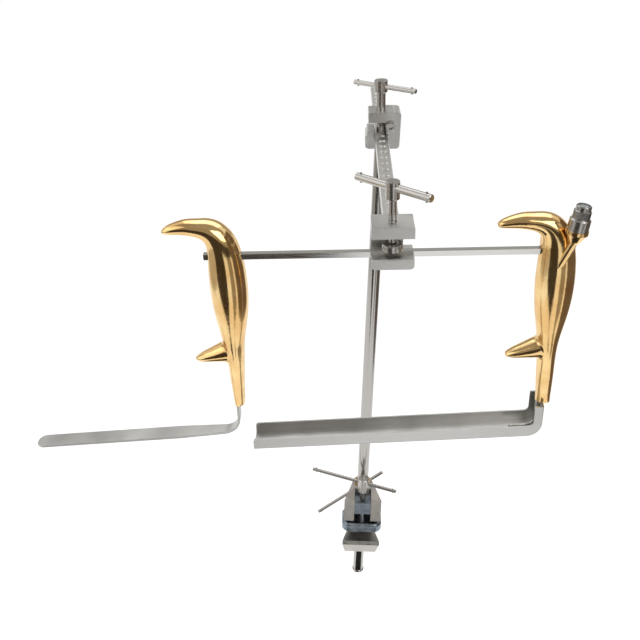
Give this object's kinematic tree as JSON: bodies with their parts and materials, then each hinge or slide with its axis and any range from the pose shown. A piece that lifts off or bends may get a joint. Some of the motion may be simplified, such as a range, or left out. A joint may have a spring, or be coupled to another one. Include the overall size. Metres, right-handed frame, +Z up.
{
  "type": "self retaining retractor",
  "caption": "Table-clamped surgical retractor frame: post, support arm and cross rail carrying two hook-handled retractors, one with a light fitting.",
  "frame": {"origin": "centre of the clamp's fixed lower seat, under the table screw", "axes": "+Z up along the post, +X along the cross rail to the retractor with the light, +Y away from the surgeon, from the table screw to the post"},
  "size_m": [0.4319, 0.4507, 0.6829],
  "materials": {
    "gold_plate": "mirror-polished gold plate",
    "satin_steel": "satin stainless steel",
    "polished_steel": "polished stainless steel",
    "dark_steel": "dark blue-grey coated steel",
    "brass": "plain brass",
    "glass": "polished optical glass"
  },
  "bodies": {
    "table_clamp": {"clamp_frame": "satin_steel", "bridge_nut": "dark_steel", "bridge_pins": "polished_steel"},
    "table_jaw_slider": {"table_jaw": "dark_steel", "table_screw_button": "polished_steel"},
    "table_spindle": {"table_screw": "polished_steel"},
    "table_lever": {"table_bar": "polished_steel", "table_bar_stop_pins": "polished_steel"},
    "lock_pad": {"lock_shoe": "brass"},
    "lock_spindle": {"lock_screw": "polished_steel"},
    "lock_lever": {"lock_bar": "polished_steel", "lock_bar_stop_pins": "polished_steel"},
    "sleeve": {"post_bushing": "brass", "bushing_ring": "dark_steel"},
    "post_assembly": {"post": "polished_steel", "post_end_cap": "satin_steel", "post_head": "satin_steel", "head_pin": "polished_steel", "pivot_screw": "polished_steel"},
    "arm_carrier": {"arm_clamp": "satin_steel"},
    "arm_pad": {"arm_screw_foot": "polished_steel"},
    "arm_spindle": {"arm_screw": "polished_steel"},
    "arm_lever": {"arm_screw_bar": "polished_steel", "arm_screw_bar_stop_pins": "polished_steel"},
    "arm": {"support_arm": "satin_steel", "rail_clamp": "satin_steel"},
    "rail_pad": {"rail_screw_foot": "polished_steel"},
    "rail_spindle": {"rail_screw": "polished_steel"},
    "rail_lever": {"rail_screw_bar": "polished_steel", "rail_screw_bar_stop_pins": "polished_steel"},
    "cross_rail": {"rail": "satin_steel"},
    "left_retractor": {"left_handle": "gold_plate", "left_blade": "satin_steel", "left_blade_pins": "polished_steel"},
    "right_retractor": {"right_handle": "gold_plate", "right_blade": "satin_steel", "right_blade_pins": "polished_steel", "light_post": "gold_plate", "light_connector": "polished_steel", "connector_nipple": "satin_steel", "connector_lens": "glass", "fibre_bundle": "glass", "light_guide_tube": "satin_steel", "guide_lens": "glass"}
  },
  "joints": [
    {"name": "table_jaw_travel", "type": "slide", "parent": "table_clamp", "child": "table_jaw_slider", "axis": [0, 0, 1], "range_m": [-0.012, 0.002]},
    {"name": "table_screw_turn", "type": "hinge", "parent": "table_jaw_slider", "child": "table_spindle", "pos_m": [0, 0, 0.06], "axis": [0, 0, 1], "range_deg": [-45, 85]},
    {"name": "table_bar_slide", "type": "slide", "parent": "table_spindle", "child": "table_lever", "axis": [0.9397, -0.342, 0], "range_m": [-0.03, 0.056]},
    {"name": "lock_shoe_travel", "type": "slide", "parent": "table_clamp", "child": "lock_pad", "axis": [0, 1, 0], "range_m": [0, 0.002]},
    {"name": "lock_screw_turn", "type": "hinge", "parent": "lock_pad", "child": "lock_spindle", "pos_m": [0, 0.044, 0.0366], "axis": [0, 1, 0], "range_deg": [0, 360.05]},
    {"name": "lock_bar_slide", "type": "slide", "parent": "lock_spindle", "child": "lock_lever", "axis": [0.749, 0, 0.6626], "range_m": [-0.023, 0.063]},
    {"name": "post_swivel", "type": "hinge", "parent": "table_clamp", "child": "sleeve", "pos_m": [0, 0.024, 0], "axis": [0, 0, 1], "continuous": true},
    {"name": "post_height", "type": "slide", "parent": "sleeve", "child": "post_assembly", "axis": [0, 0, 1], "range_m": [-0.25, 0.05]},
    {"name": "arm_tilt", "type": "hinge", "parent": "post_assembly", "child": "arm_carrier", "pos_m": [0.0059, -0.002, 0.5511], "axis": [0, -1, 0], "range_deg": [-9, 3]},
    {"name": "arm_reach", "type": "slide", "parent": "arm_carrier", "child": "arm", "axis": [0, 1, 0], "range_m": [-0.15, 0.1]},
    {"name": "arm_foot_travel", "type": "slide", "parent": "arm_carrier", "child": "arm_pad", "axis": [-0.0506, 0, 0.9987], "range_m": [0, 0.004]},
    {"name": "arm_screw_turn", "type": "hinge", "parent": "arm_pad", "child": "arm_spindle", "pos_m": [-0.00327, -0.002, 0.56215], "axis": [-0.0506, 0, 0.9987], "range_deg": [0, 720.05]},
    {"name": "arm_bar_slide", "type": "slide", "parent": "arm_spindle", "child": "arm_lever", "axis": [0.8028, -0.5948, 0.0407], "range_m": [-0.027, 0.019]},
    {"name": "rail_foot_travel", "type": "slide", "parent": "arm", "child": "rail_pad", "axis": [-0.0506, 0, 0.9987], "range_m": [0, 0.008]},
    {"name": "rail_screw_turn", "type": "hinge", "parent": "rail_pad", "child": "rail_spindle", "pos_m": [-0.00277, -0.244, 0.55216], "axis": [-0.0506, 0, 0.9987], "range_deg": [0, 1440.05]},
    {"name": "rail_bar_slide", "type": "slide", "parent": "rail_spindle", "child": "rail_lever", "axis": [0.7304, -0.682, 0.037], "range_m": [-0.024, 0.024]},
    {"name": "rail_slide", "type": "slide", "parent": "arm", "child": "cross_rail", "axis": [0.9987, 0, 0.0506], "range_m": [-0.04, 0.07]},
    {"name": "left_retractor_slide", "type": "slide", "parent": "cross_rail", "child": "left_retractor", "axis": [0.9987, 0, 0.0506], "range_m": [-0.01, 0.02]},
    {"name": "right_retractor_slide", "type": "slide", "parent": "cross_rail", "child": "right_retractor", "axis": [0.9987, 0, 0.0506], "range_m": [-0.015, 0.01]}
  ],
  "couplings": [
    {"joint": "table_jaw_travel", "follows": "table_screw_turn", "m_per_rad": 0.00031831},
    {"joint": "lock_screw_turn", "follows": "lock_shoe_travel", "rad_per_m": 3141.6},
    {"joint": "arm_screw_turn", "follows": "arm_foot_travel", "rad_per_m": 3141.6},
    {"joint": "rail_screw_turn", "follows": "rail_foot_travel", "rad_per_m": 3141.6}
  ]
}
